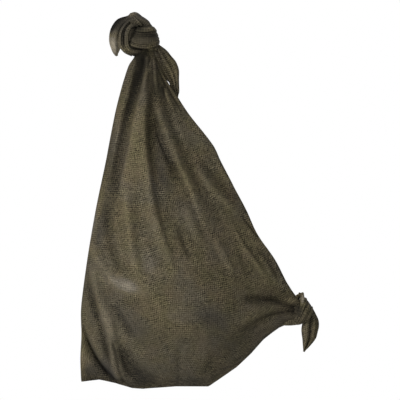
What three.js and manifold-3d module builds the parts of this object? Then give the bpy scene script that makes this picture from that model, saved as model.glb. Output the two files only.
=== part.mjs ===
// Knotted burlap messenger bag, one piece of cloth, hanging by the knot at its top.
// Millimetres, +Z up, the front faces -Y. The origin is the highest point of the top knot.
import * as THREE from 'three';
import { mergeVertices } from 'three/addons/utils/BufferGeometryUtils.js';
import Module from 'manifold-3d';

const wasm = await Module();
wasm.setup();

// Driving dimensions
const CLOTH_THICK = 3;        // doubled hem and thread of the coarse cloth
const HALF_GAP = 0.8;         // least half width of the hollow where the walls meet
const EDGE_HALF = 1.6;        // half thickness of the bottom fold and of the closed edges
const COLUMNS = 30;           // steps from the left edge to the right edge, on each face
const STEPS_PER_SECTION = 2;  // loops between two rows of the section table
const COLUMN_CROWDING = 1.3;  // above 1 puts more columns at the rounded left edge

// How the depth of a section rises from its edges
const ROUND_SKEW = 0.8;       // below 1 puts the fullest part left of the middle
const ROUND_LEFT = 0.6;       // power at the left edge, small is blunt
const ROUND_RIGHT = 1.0;      // power at the right edge, one is a plain wedge
const LIP_POWER = 6;          // how late the lips part towards the right edge

// Sections of the cloth, from inside the top knot down to the bottom fold.
// left and right are the outline in the front view. sag is how far the section hangs below the line
// between them. front and back are the depths. lip is half the gap between the two lips. recess sets
// the front lip back from the outline. reach takes the hollow past the right edge, or short of it
// where negative.
const SECTION_COLUMNS = [
  'leftX', 'leftZ', 'rightX', 'rightZ', 'sag', 'front', 'back', 'lip', 'recess', 'reach',
];
const SECTIONS = [
  [0, -60, 42, -56, 0, 17, 17, 2, 0, -30],
  [-2, -88, 44, -84, 0, 20, 20, 2, 0, -30],
  [-9, -110, 54, -110, 0, 25, 24, 2, 0, -30],
  [-18, -136, 66, -142, 0, 30, 29, 2, 0, -28],
  [-26, -164, 86, -172, 0, 35, 33, 3, 0, -16],
  [-37, -202, 113, -210, 0, 40, 37, 6, 0, 4],
  [-46, -252, 157, -266, 0, 46, 43, 12, 0, 14],
  [-56, -300, 175, -302, 0, 52, 49, 17, 5, 14],
  [-65, -338, 197, -346, 0, 58, 54, 21, 12, 14],
  [-74, -388, 223, -396, 2, 64, 60, 24, 14, 14],
  [-84, -442, 247, -446, 6, 70, 66, 24, 6, 14],
  [-93, -496, 277, -488, 10, 76, 71, 20, 0, 14],
  [-102, -560, 304, -540, 18, 80, 74, 12, 0, 4],
  [-106, -602, 322, -566, 30, 80, 74, 4, 0, -34],
  [-104, -648, 319, -582, 48, 73, 67, 18, 0, -60],
  [-106, -690, 313, -598, 62, 57, 53, 23, 0, -70],
  [-105, -718, 307, -614, 72, 35, 33, 18, 0, -80],
  [-104, -740, 300, -628, 80, EDGE_HALF, EDGE_HALF, EDGE_HALF, 0, -90],
];
// Line of the bottom fold: share of the width, and share of the sag
const DROP_CURVE = [
  [0, 0], [0.08, 0.06], [0.17, 0.28], [0.25, 0.51], [0.36, 0.67], [0.5, 0.82], [0.62, 1],
  [0.68, 0.89], [0.76, 0.72], [0.83, 0.48], [0.89, 0.21], [0.94, 0.1], [1, 0], [1.2, 0],
];
const HOLLOW_FIRST = 2.5;     // row of the table where the hollow starts
const HOLLOW_LAST = 16.5;     // row of the table where the hollow ends
const LEAST_WALL = 1;         // least wall beside a steep fold
const MOUTH_PULL_POWER = 20;  // the hollow passes the right edge in its last columns only
const CLOSED_PULL_FROM = 0.6; // where the hollow is closed it draws back from this fraction on
const EDGE_PULL_SHARE = 0.2;  // share of the width over which it keeps off the left edge

// Folds of the front. Each runs through its points in the front view, x and z. rise is out of the
// cloth, or into it where negative. left and right are its widths on either hand of someone going
// along the line. fadeIn and fadeOut are the shares of its length over which it comes and goes.
const FOLD_COLUMNS = ['name', 'rise', 'left', 'right', 'fadeIn', 'fadeOut', 'points'];
const FRONT_FOLDS = [
  ['left gather valley', -26, 12, 13, 0.0, 0.3,
    [[22, -84], [7, -124], [-6, -162], [-15, -208], [-25, -268], [-36, -330], [-45, -372], [-57, -446]]],
  ['left edge ridge', 6, 8, 8, 0.0, 0.4,
    [[2, -84], [-10, -124], [-21, -170], [-31, -230], [-43, -300], [-54, -370]]],
  ['lit panel', 12, 15, 20, 0.1, 0.5,
    [[26, -110], [13, -180], [5, -240], [3, -300], [7, -350], [14, -430]]],
  ['valley beside the panel', -22, 22, 6, 0.0, 0.5,
    [[31, -100], [34, -180], [36, -250], [41, -310], [50, -370], [64, -440]]],
  ['second valley', -12, 7, 7, 0.2, 0.5,
    [[42, -190], [52, -250], [64, -300], [82, -350]]],
  ['thin middle ridge', 15, 8, 7, 0.2, 0.4,
    [[46, -150], [62, -238], [82, -284], [102, -340], [128, -392], [152, -442], [176, -488]]],
  ['long right valley', -22, 16, 10, 0.1, 0.45,
    [[52, -130], [66, -190], [95, -270], [128, -340], [150, -382], [174, -430], [202, -490]]],
  ['valley by the right tail', -10, 9, 9, 0.1, 0.4,
    [[48, -110], [68, -170], [94, -230], [122, -290], [144, -330]]],
  ['right light ridge', 12, 12, 14, 0.3, 0.4,
    [[84, -190], [108, -250], [124, -310], [150, -342], [174, -370], [196, -402]]],
  ['lip valley', -9, 10, 10, 0.3, 0.4,
    [[160, -300], [186, -350], [208, -392], [226, -424], [246, -450]]],
  ['low right ridge', 7, 9, 9, 0.3, 0.3,
    [[212, -470], [236, -508], [262, -532], [278, -560]]],
  ['long centre ridge', 12, 8, 14, 0.2, 0.4,
    [[28, -290], [36, -350], [44, -410], [62, -465], [82, -508], [104, -556]]],
  ['left centre ridge', 12, 10, 12, 0.3, 0.2,
    [[-20, -340], [-18, -408], [-10, -458], [-4, -518], [4, -544]]],
  ['left hollow', -13, 20, 16, 0.4, 0.4,
    [[-46, -370], [-44, -420], [-36, -470], [-24, -520]]],
  ['diagonal ridge', 18, 10, 13, 0.15, 0.3,
    [[-80, -478], [-60, -504], [-36, -532], [0, -550], [34, -566]]],
  ['left corner ridge', 17, 12, 9, 0.25, 0.15,
    [[-82, -500], [-76, -534], [-67, -580], [-55, -624], [-45, -660], [-35, -706], [-25, -738]]],
  ['belly tuck', -20, 12, 10, 0.3, 0.1,
    [[-42, -650], [-18, -690], [12, -724], [52, -750]]],
  ['corner tuck', -14, 6, 14, 0.15, 0.05,
    [[-100, -636], [-86, -670], [-66, -702], [-46, -726], [-32, -742]]],
  ['belly over the corner', 17, 20, 7, 0.2, 0.05,
    [[-90, -622], [-74, -658], [-54, -690], [-34, -716], [-18, -738]]],
  ['upper side valley', -18, 12, 9, 0.5, 0.0,
    [[180, -562], [216, -572], [246, -574], [282, -578], [322, -592]]],
  ['side ridge', 7, 9, 9, 0.4, 0.0,
    [[200, -600], [240, -594], [280, -588], [322, -596]]],
  ['lower side valley', -18, 9, 12, 0.5, 0.0,
    [[160, -664], [206, -634], [250, -612], [282, -602], [322, -602]]],
];

// Folds of the back, seen from the front as well. The photograph doesn't show them.
const BACK_FOLDS = [
  ['back left valley', -10, 13, 12, 0.0, 0.5,
    [[8, -84], [-2, -150], [-16, -220], [-34, -320], [-52, -430]]],
  ['back centre valley', -12, 13, 12, 0.0, 0.5,
    [[22, -84], [26, -160], [30, -250], [46, -350], [72, -460]]],
  ['back centre ridge', 6, 14, 14, 0.2, 0.4,
    [[16, -120], [6, -220], [4, -330], [12, -450], [30, -560]]],
  ['back right valley', -10, 13, 13, 0.0, 0.4,
    [[32, -84], [52, -150], [84, -240], [126, -340], [178, -450]]],
  ['back upper side valley', -12, 12, 12, 0.5, 0.0,
    [[150, -520], [200, -548], [250, -566], [322, -586]]],
  ['back lower side valley', -12, 12, 12, 0.5, 0.0,
    [[130, -650], [190, -630], [250, -608], [322, -602]]],
  ['back corner tuck', -10, 12, 14, 0.3, 0.1,
    [[-70, -590], [-60, -650], [-36, -704], [-10, -738]]],
];
const FOLD_STEPS = 24;        // short straight steps that each fold line is measured along
const RIDGE_FULL_DEPTH = 6;   // half depth of the cloth at which a ridge reaches its full rise
const VALLEY_LIMIT = 0.62;    // most of the half depth that the valleys at one place may take

// Knots. A strand is a gathered end of the cloth with a row for each place along it. It faces away
// from the knot's centre, or the way that facing says. A band goes right round, across its axis.
const KNOT_COLUMNS = ['x', 'y', 'z', 'width', 'thick'];
const BAND_STEPS = 16;
const STRAND_STEPS = 9;
const STRAND_SIDES = 12;
const TANGENT_STEP = 0.02;    // part of a row on either hand that gives a strand its direction
const CORE_SIDES = 12;
const CORE_ROWS = 8;

const TOP_KNOT = {
  centre: [16, 0, -54],
  core: [28, 24, 44],
  band: {
    centre: [17, 0, -56],
    axis: [-0.1, 0, 1],
    half: [24, 20],
    width: 42,
    thick: 19,
    pleats: 2,
    pleatDepth: 1.6,
  },
  strands: [
    // wrap down the left side and under the band
    {
      pleats: 1,
      pleatDepth: 1.4,
      rows: [
        [2, 2, -10, 14, 12],
        [-12, -8, -26, 22, 15],
        [-19, -12, -48, 24, 16],
        [-15, -16, -72, 24, 16],
        [0, -20, -86, 22, 15],
        [20, -20, -88, 18, 13],
        [38, -12, -80, 12, 10],
      ],
    },
    // wrap over the top and down behind the band
    {
      facing: [0.3, -0.8, 0.5],
      pleats: 2,
      pleatDepth: 1.6,
      rows: [
        [-14, -12, -24, 22, 14],
        [0, -12, -14, 25, 18],
        [17, -10, -24, 28, 20],
        [28, -4, -39, 28, 20],
        [35, 8, -57, 28, 18],
        [38, 14, -74, 22, 14],
      ],
    },
    // short tail that curls over to the left
    {
      facing: [-0.45, -0.9, 0],
      pleats: 1,
      pleatDepth: 0.8,
      rows: [
        [-4, -4, -22, 18, 10],
        [-21, -8, -24, 24, 8],
        [-34, -12, -38, 25, 6],
        [-37, -14, -58, 25, 5],
        [-37, -13, -74, 17, 4],
        [-34, -12, -89, 4, 3],
      ],
    },
    // long tail that hangs on the right, behind the front lip
    {
      facing: [0.35, -0.94, 0],
      pleats: 2,
      pleatDepth: 1.0,
      rows: [
        [36, 12, -62, 22, 12],
        [50, 18, -80, 28, 10],
        [65, 24, -104, 34, 8],
        [77, 28, -130, 30, 7],
        [81, 30, -156, 26, 6],
        [81, 32, -172, 22, 5],
      ],
    },
  ],
};

const SIDE_KNOT = {
  centre: [316, 0, -596],
  core: [16, 20, 28],
  band: {
    centre: [314, 0, -596],
    axis: [1, 0, -0.33],
    half: [27, 20],
    width: 24,
    thick: 13,
    pleats: 2,
    pleatDepth: 1.0,
  },
  strands: [
    // stub of the other end
    {
      pleats: 1,
      pleatDepth: 0.6,
      rows: [
        [318, 4, -582, 20, 12],
        [328, 2, -572, 17, 10],
        [336, 0, -564, 9, 6],
      ],
    },
    // tail that hangs down
    {
      facing: [0.5, -0.86, 0],
      pleats: 2,
      pleatDepth: 1.2,
      rows: [
        [324, -6, -577, 24, 12],
        [342, -8, -585, 28, 11],
        [353, -10, -606, 33, 9],
        [355, -11, -630, 36, 8],
        [352, -10, -654, 28, 6],
        [340, -8, -680, 4, 3],
      ],
    },
  ],
};

const mix = (a, b, t) => a + (b - a) * t;
const clamp = (t) => Math.min(1, Math.max(0, t));

function ease(t) {
  const c = clamp(t);
  return c * c * (3 - 2 * c);
}

// A table row with its values under the names of its columns
function named(columns, row) {
  return Object.fromEntries(columns.map((name, i) => [name, row[i]]));
}

// Value between the rows of a table, on a smooth curve through all of them
function between(values, position) {
  const last = values.length - 1;
  const i = Math.min(last - 1, Math.floor(position));
  const t = position - i;
  const p1 = values[i];
  const p2 = values[i + 1];
  const p0 = i > 0 ? values[i - 1] : 2 * p1 - p2;
  const p3 = i + 2 <= last ? values[i + 2] : 2 * p2 - p1;
  const a = -p0 + 3 * p1 - 3 * p2 + p3;
  const b = 2 * p0 - 5 * p1 + 4 * p2 - p3;
  const c = p2 - p0;
  return p1 + 0.5 * t * (c + t * (b + t * a));
}

function rowAt(columns, table, position) {
  const row = columns.map((name, i) => between(table.map((values) => values[i]), position));
  return named(columns, row);
}

// Drop of a section below the straight line between its ends, from 0 to 1
function drop(u) {
  const shares = DROP_CURVE.map(([share]) => share);
  const i = Math.max(1, shares.findIndex((share) => share >= u));
  const [fromU, from] = DROP_CURVE[i - 1];
  const [toU, to] = DROP_CURVE[i];
  return mix(from, to, (u - fromU) / (toU - fromU));
}

// Fold lines as short straight steps with their widths and fades
function traceFold(values) {
  const fold = named(FOLD_COLUMNS, values);
  const curve = new THREE.CatmullRomCurve3(fold.points.map(([x, z]) => new THREE.Vector3(x, 0, z)));
  fold.line = curve.getPoints(FOLD_STEPS).map((p) => [p.x, p.z]);
  return fold;
}

// Nearest place on a fold line: how far off, on which hand, and how far along
function nearestOn(line, x, z) {
  let best = { distance: Infinity, hand: 1, along: 0 };
  for (let i = 0; i < line.length - 1; i += 1) {
    const [ax, az] = line[i];
    const [bx, bz] = line[i + 1];
    const dx = bx - ax;
    const dz = bz - az;
    const t = clamp(((x - ax) * dx + (z - az) * dz) / (dx * dx + dz * dz));
    const distance = Math.hypot(x - ax - dx * t, z - az - dz * t);
    if (distance < best.distance) {
      const hand = dx * (z - az) - dz * (x - ax);
      best = { distance, hand, along: (i + t) / (line.length - 1) };
    }
  }
  return best;
}

// Rise of one fold at a point of the front view
function foldRise(fold, x, z) {
  const near = nearestOn(fold.line, x, z);
  const width = near.hand > 0 ? fold.left : fold.right;
  const off = near.distance / (2 * width);
  if (off >= 1) {
    return 0;
  }
  const comes = fold.fadeIn > 0 ? ease(near.along / fold.fadeIn) : 1;
  const goes = fold.fadeOut > 0 ? ease((1 - near.along) / fold.fadeOut) : 1;
  const across = 0.5 + 0.5 * Math.cos(Math.PI * off);
  return fold.rise * comes * goes * across * across;
}

// Rise of all folds at a point. Valleys together never reach the middle of the cloth.
function foldsAt(folds, halfDepth, x, z) {
  const total = folds.reduce((sum, fold) => sum + foldRise(fold, x, z), 0);
  if (total > 0) {
    return total * Math.min(1, halfDepth / RIDGE_FULL_DEPTH);
  }
  const limit = VALLEY_LIMIT * halfDepth;
  return limit > 0 ? limit * Math.tanh(total / limit) : 0;
}

const frontFolds = FRONT_FOLDS.map(traceFold);
const backFolds = BACK_FOLDS.map(traceFold);

// Place in the front view at a fraction of a section's width, past the right edge too
function spotOn(section, u, isFront) {
  const rightX = isFront ? section.rightX - section.recess : section.rightX;
  const x = mix(section.leftX, rightX, u);
  const z = mix(section.leftZ, section.rightZ, u) - section.sag * drop(clamp(u));
  return { x, z };
}

// How far the cloth stands from the middle of the bag before it is folded
function plainDepth(section, u, isFront) {
  const across = clamp(u);
  const power = mix(ROUND_LEFT, ROUND_RIGHT, across);
  const round = Math.sin(Math.PI * across ** ROUND_SKEW) ** power;
  return (isFront ? section.front : section.back) * round + section.lip * across ** LIP_POWER;
}

// How far its folds lift it there, or sink it where negative
function riseOn(section, u, isFront) {
  const { x, z } = spotOn(section, u, isFront);
  return foldsAt(isFront ? frontFolds : backFolds, plainDepth(section, u, isFront), x, z);
}

// Loops round the outside of the cloth. Each keeps its section, its fractions and their rises.
function outerLoops() {
  const loops = [];
  for (let j = 0; j <= (SECTIONS.length - 1) * STEPS_PER_SECTION; j += 1) {
    const section = rowAt(SECTION_COLUMNS, SECTIONS, j / STEPS_PER_SECTION);
    const us = Array.from({ length: COLUMNS + 1 }, (_, i) => (i / COLUMNS) ** COLUMN_CROWDING);
    const rises = [true, false].map((isFront) => us.map((u) => riseOn(section, u, isFront)));
    loops.push({ section, us, rises });
  }
  return loops;
}

// Points of a loop in order: the front from left to right, then the back from right to left
function loopPoints(section, us, rises, least) {
  const face = (isFront) => us.map((u, i) => {
    const { x, z } = spotOn(section, u, isFront);
    const rise = rises[isFront ? 0 : 1][i];
    const depth = i === 0 ? 0 : Math.max(least, plainDepth(section, u, isFront) + rise);
    return [x, isFront ? -depth : depth, z];
  });
  return [...face(true), ...face(false).slice(1).reverse()];
}

// Least rise of the outer face round a grid place, and round the fraction it is pulled to
function leastAround(loops, j, side, i, pulledU) {
  const pulledColumn = COLUMNS * clamp(pulledU) ** (1 / COLUMN_CROWDING);
  const first = Math.max(0, Math.floor(Math.min(i, pulledColumn)) - 1);
  const last = Math.ceil(Math.max(i, pulledColumn)) + 1;
  const rows = [loops[j - 1], loops[j], loops[j + 1]].filter(Boolean);
  return Math.min(...rows.flatMap((loop) => loop.rises[side].slice(first, last + 1)));
}

// Loop round the hollow, one thickness inside the outer faces
function hollowPoints(loops, j) {
  const { section, us } = loops[j];
  const width = section.rightX - section.leftX;
  const pulls = section.reach > 0
    ? us.map((u) => u ** MOUTH_PULL_POWER)
    : us.map((u) => ease((u - CLOSED_PULL_FROM) / (1 - CLOSED_PULL_FROM)));
  const edges = us.map((u) => (CLOTH_THICK + HALF_GAP) * (1 - clamp(u / EDGE_PULL_SHARE)));
  const pulled = us.map((u, i) => u + (pulls[i] * section.reach + edges[i]) / width);
  const rises = [true, false].map((isFront, side) => pulled.map((u, i) => {
    const own = riseOn(section, u, isFront) - CLOTH_THICK;
    const around = leastAround(loops, j, side, i, u) - LEAST_WALL;
    return Math.min(own, around);
  }));
  return loopPoints(section, pulled, rises, HALF_GAP);
}

// Closed body through rings of the same number of points. Each ring has its points in one order.
// Each face is split along the diagonal that changes depth least, so that folds stay smooth.
// capOf gives the triangles of an end as fractions of its ring, or the body closes on itself.
function skin(rings, capOf) {
  const size = rings[0].length;
  const points = rings.flat();
  const triangles = [];
  const spans = capOf ? rings.length - 1 : rings.length;
  const step = (a, b) => Math.abs(points[a][1] - points[b][1]);
  for (let j = 0; j < spans; j += 1) {
    const here = j * size;
    const there = ((j + 1) % rings.length) * size;
    for (let i = 0; i < size; i += 1) {
      const next = (i + 1) % size;
      const [a, b, c, d] = [here + i, here + next, there + next, there + i];
      if (step(a, c) <= step(b, d)) {
        triangles.push([a, b, c], [a, c, d]);
      } else {
        triangles.push([a, b, d], [b, c, d]);
      }
    }
  }
  if (capOf) {
    const end = (rings.length - 1) * size;
    for (const [a, b, c] of capOf(size)) {
      triangles.push([c, b, a]);
      triangles.push([end + a, end + b, end + c]);
    }
  }
  const geometry = new THREE.BufferGeometry();
  geometry.setAttribute('position', new THREE.Float32BufferAttribute(points.flat(), 3));
  geometry.setIndex(triangles.flat());
  return geometry;
}

// Cap of a cloth loop: a strip from each front point to the back point behind it
function stripCap(size) {
  const half = (size - 1) / 2;
  const backOf = (i) => (i === 0 ? 0 : size - i);
  const triangles = [];
  for (let i = 0; i < half; i += 1) {
    triangles.push([i, i + 1, backOf(i + 1)]);
    if (i > 0) {
      triangles.push([i, backOf(i + 1), backOf(i)]);
    }
  }
  return triangles;
}

// Cap of a strand: a strip across its flat section
function strandCap(size) {
  const triangles = [];
  for (let i = 1; i < size / 2; i += 1) {
    const opposite = size - i;
    triangles.push([i - 1, i, opposite % size]);
    if (i > 1) {
      triangles.push([i - 1, opposite, opposite + 1]);
    }
  }
  triangles.push([size / 2 - 1, size / 2, size / 2 + 1]);
  return triangles;
}

function volumeOf(points, index) {
  const corner = (k) => new THREE.Vector3().fromBufferAttribute(points, index.getX(k));
  let volume = 0;
  for (let k = 0; k < index.count; k += 3) {
    volume += corner(k).dot(corner(k + 1).cross(corner(k + 2))) / 6;
  }
  return volume;
}

// A closed mesh as a solid that can be joined and cut, with its faces turned outwards
function solidOf(geometry) {
  const bare = geometry.clone();
  bare.deleteAttribute('normal');
  bare.deleteAttribute('uv');
  const merged = mergeVertices(bare);
  const points = merged.getAttribute('position');
  const outward = volumeOf(points, merged.index) > 0;
  const faces = [];
  for (let k = 0; k < merged.index.count; k += 3) {
    const [a, b, c] = [0, 1, 2].map((step) => merged.index.getX(k + step));
    if (a !== b && b !== c && c !== a) {
      faces.push(...(outward ? [a, b, c] : [c, b, a]));
    }
  }
  const mesh = new wasm.Mesh({
    numProp: 3,
    vertProperties: new Float32Array(points.array),
    triVerts: new Uint32Array(faces),
  });
  return new wasm.Manifold(mesh);
}

function geometryOf(solid) {
  const { vertProperties, triVerts } = solid.getMesh();
  const geometry = new THREE.BufferGeometry();
  geometry.setAttribute('position', new THREE.BufferAttribute(new Float32Array(vertProperties), 3));
  geometry.setIndex(Array.from(triVerts));
  geometry.computeVertexNormals();
  return geometry;
}

// Section of a strand: flat, round at both sides, with pleats along its two faces
function strandRing(middle, across, out, size, pleats, pleatDepth) {
  const ring = [];
  for (let i = 0; i < STRAND_SIDES; i += 1) {
    const angle = (2 * Math.PI * i) / STRAND_SIDES;
    const side = Math.cos(angle);
    const face = Math.sin(angle);
    const pleat = 1 + (pleatDepth / size.thick) * 2 * Math.cos(2 * Math.PI * pleats * (side / 2 + 0.5));
    const point = middle.clone();
    point.addScaledVector(across, (side * size.width) / 2);
    point.addScaledVector(out, (face * pleat * size.thick) / 2);
    ring.push(point.toArray());
  }
  return ring;
}

// Direction with the part along the tangent taken away
function squareTo(tangent, direction) {
  return direction.clone().addScaledVector(tangent, -direction.dot(tangent)).normalize();
}

// A gathered end of the cloth along its own rows. It faces away from the knot's centre, or one way.
function strand(form, centre) {
  const last = form.rows.length - 1;
  const placeAt = (position) => {
    const row = rowAt(KNOT_COLUMNS, form.rows, position);
    return { row, middle: new THREE.Vector3(row.x, row.y, row.z) };
  };
  const rings = [];
  for (let k = 0; k <= STRAND_STEPS; k += 1) {
    const position = (last * k) / STRAND_STEPS;
    const { row, middle } = placeAt(position);
    const before = placeAt(Math.max(0, position - TANGENT_STEP)).middle;
    const after = placeAt(Math.min(last, position + TANGENT_STEP)).middle;
    const tangent = after.sub(before).normalize();
    const away = middle.clone().sub(new THREE.Vector3(...centre));
    const out = squareTo(tangent, form.facing ? new THREE.Vector3(...form.facing) : away);
    const across = new THREE.Vector3().crossVectors(tangent, out);
    rings.push(strandRing(middle, across, out, row, form.pleats, form.pleatDepth));
  }
  return solidOf(skin(rings, strandCap));
}

// A band of cloth right round a knot, across the given axis
function band(form) {
  const centre = new THREE.Vector3(...form.centre);
  const axis = new THREE.Vector3(...form.axis).normalize();
  const depth = new THREE.Vector3(0, 1, 0);
  const wide = new THREE.Vector3().crossVectors(depth, axis).normalize();
  const rings = [];
  for (let k = 0; k < BAND_STEPS; k += 1) {
    const angle = (2 * Math.PI * k) / BAND_STEPS;
    const arm = wide.clone().multiplyScalar(form.half[0] * Math.cos(angle));
    arm.addScaledVector(depth, form.half[1] * Math.sin(angle));
    const tangent = wide.clone().multiplyScalar(-form.half[0] * Math.sin(angle));
    tangent.addScaledVector(depth, form.half[1] * Math.cos(angle)).normalize();
    const out = squareTo(tangent, arm);
    const size = { width: form.width, thick: form.thick };
    rings.push(strandRing(centre.clone().add(arm), axis, out, size, form.pleats, form.pleatDepth));
  }
  return solidOf(skin(rings, null));
}

// The packed cloth in the middle of a knot
function core(centre, half) {
  const ball = new THREE.SphereGeometry(1, CORE_SIDES, CORE_ROWS);
  ball.scale(...half);
  ball.translate(...centre);
  return solidOf(ball);
}

function fuse(solids) {
  return solids.reduce((whole, next) => whole.add(next));
}

function topKnot() {
  return fuse([
    core(TOP_KNOT.centre, TOP_KNOT.core),
    band(TOP_KNOT.band),
    ...TOP_KNOT.strands.map((form) => strand(form, TOP_KNOT.centre)),
  ]);
}

function sideKnot() {
  return fuse([
    core(SIDE_KNOT.centre, SIDE_KNOT.core),
    band(SIDE_KNOT.band),
    ...SIDE_KNOT.strands.map((form) => strand(form, SIDE_KNOT.centre)),
  ]);
}

// The cloth round its hollow, which opens between the two lips
function bagBody() {
  const loops = outerLoops();
  const outside = loops.map(({ section, us, rises }) => loopPoints(section, us, rises, EDGE_HALF));
  const hollow = [];
  for (let j = HOLLOW_FIRST * STEPS_PER_SECTION; j <= HOLLOW_LAST * STEPS_PER_SECTION; j += 1) {
    hollow.push(hollowPoints(loops, j));
  }
  return solidOf(skin(outside, stripCap)).subtract(solidOf(skin(hollow, stripCap)));
}

const burlap = new THREE.MeshStandardMaterial({ color: 0x5c5544, roughness: 0.95, metalness: 0 });

const cloth = new THREE.Mesh(geometryOf(fuse([bagBody(), topKnot(), sideKnot()])), burlap);
cloth.name = 'burlap_cloth';

const bag = new THREE.Group();
bag.add(cloth);

export default bag;
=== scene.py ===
# Knotted burlap messenger bag, hanging by its top knot.
# Tables are in millimetres, +Z up, and the front faces -Y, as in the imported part.
import math
from itertools import chain

import bpy
import numpy as np
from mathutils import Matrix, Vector, noise


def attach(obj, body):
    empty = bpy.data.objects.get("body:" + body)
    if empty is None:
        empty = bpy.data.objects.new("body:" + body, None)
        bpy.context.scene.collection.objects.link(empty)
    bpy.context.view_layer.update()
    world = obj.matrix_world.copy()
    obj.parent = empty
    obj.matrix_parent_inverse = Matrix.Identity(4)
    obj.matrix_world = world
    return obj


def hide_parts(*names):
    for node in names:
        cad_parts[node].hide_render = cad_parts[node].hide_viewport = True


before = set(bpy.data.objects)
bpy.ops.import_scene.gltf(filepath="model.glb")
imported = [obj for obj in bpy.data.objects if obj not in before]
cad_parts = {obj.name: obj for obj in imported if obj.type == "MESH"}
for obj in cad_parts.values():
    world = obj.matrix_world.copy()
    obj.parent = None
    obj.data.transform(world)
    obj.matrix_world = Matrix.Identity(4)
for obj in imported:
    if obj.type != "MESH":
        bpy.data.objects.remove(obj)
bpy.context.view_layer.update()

MM = 0.001

# Sizes of the cloth
CLOTH_THICK = 1.8  # one layer of the coarse cloth
EDGE_HALF = 1.9  # least half depth of the bag, as at its bottom fold
BACK_COLUMNS = 84  # steps across the back, from the left edge to the right edge
FRONT_COLUMNS = 2 * BACK_COLUMNS
ROWS_PER_SECTION = 10
COLUMN_CROWDING = 1.25  # above 1 puts more columns at the rounded left edge

# How the depth of a section rises from its edges
ROUND_SKEW = 0.8  # below 1 puts the deepest place left of the middle
ROUND_LEFT = 0.6  # the lower, the fuller the section is at its left
ROUND_RIGHT = 1.0  # the same at its right
LIP_POWER = 6  # the higher, the nearer the lips keep to the right edge

# Sections of the cloth, from inside the top knot down to the bottom fold: its two ends, how far it
# sags between them, and its depth in front and behind. lip is how far the lips of the mouth stand
# out at the right edge, and recess how far the front one stands back.
SECTION_COLUMNS = ["left_x", "left_z", "right_x", "right_z", "sag", "front", "back", "lip", "recess"]
SECTIONS = [
    [0, -60, 42, -56, 0, 17, 17, 2, 0],
    [3.5, -88, 39, -84, 0, 20, 20, 2, 0],
    [-9, -110, 50, -110, 0, 25, 24, 2, 0],
    [-18, -136, 66, -142, 0, 30, 29, 2, 0],
    [-26, -164, 86, -172, 0, 35, 33, 3, 0],
    [-35.5, -202, 111.5, -210, 0, 40, 37, 6, 0],
    [-45.5, -252, 155.5, -266, 0, 46, 43, 12, 0],
    [-54.5, -300, 173, -302, 0, 52, 49, 17, 0],
    [-62.5, -338, 197, -346, 0, 58, 54, 21, 1],
    [-73, -388, 224, -396, 2, 64, 60, 24, 2],
    [-82.8, -442, 247, -446, 6, 70, 66, 24, 1],
    [-91.6, -496, 281.5, -497, 10, 76, 71, 20, 0],
    [-100.5, -560, 303.5, -540, 18, 80, 74, 12, 0],
    [-104.5, -602, 320, -566, 30, 80, 74, 4, 0],
    [-103.5, -648, 331, -582, 48, 73, 67, 14, 0],
    [-105.5, -690, 333, -597, 62, 57, 53, 17, 0],
    [-105, -718, 330, -612, 72, 35, 33, 14, 0],
    [-104, -740, 324, -624, 80, EDGE_HALF, EDGE_HALF, EDGE_HALF, 0],
]
# Line of the bottom fold: share of the width, and share of the sag
DROP_CURVE = [
    (0, 0), (0.08, 0.06), (0.16, 0.27), (0.235, 0.495), (0.285, 0.59), (0.35, 0.655), (0.44, 0.75),
    (0.59, 0.97), (0.645, 0.85), (0.72, 0.68), (0.785, 0.447), (0.845, 0.172), (0.885, 0.062),
    (0.92, -0.02), (0.95, -0.045), (1, 0),
]

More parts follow.
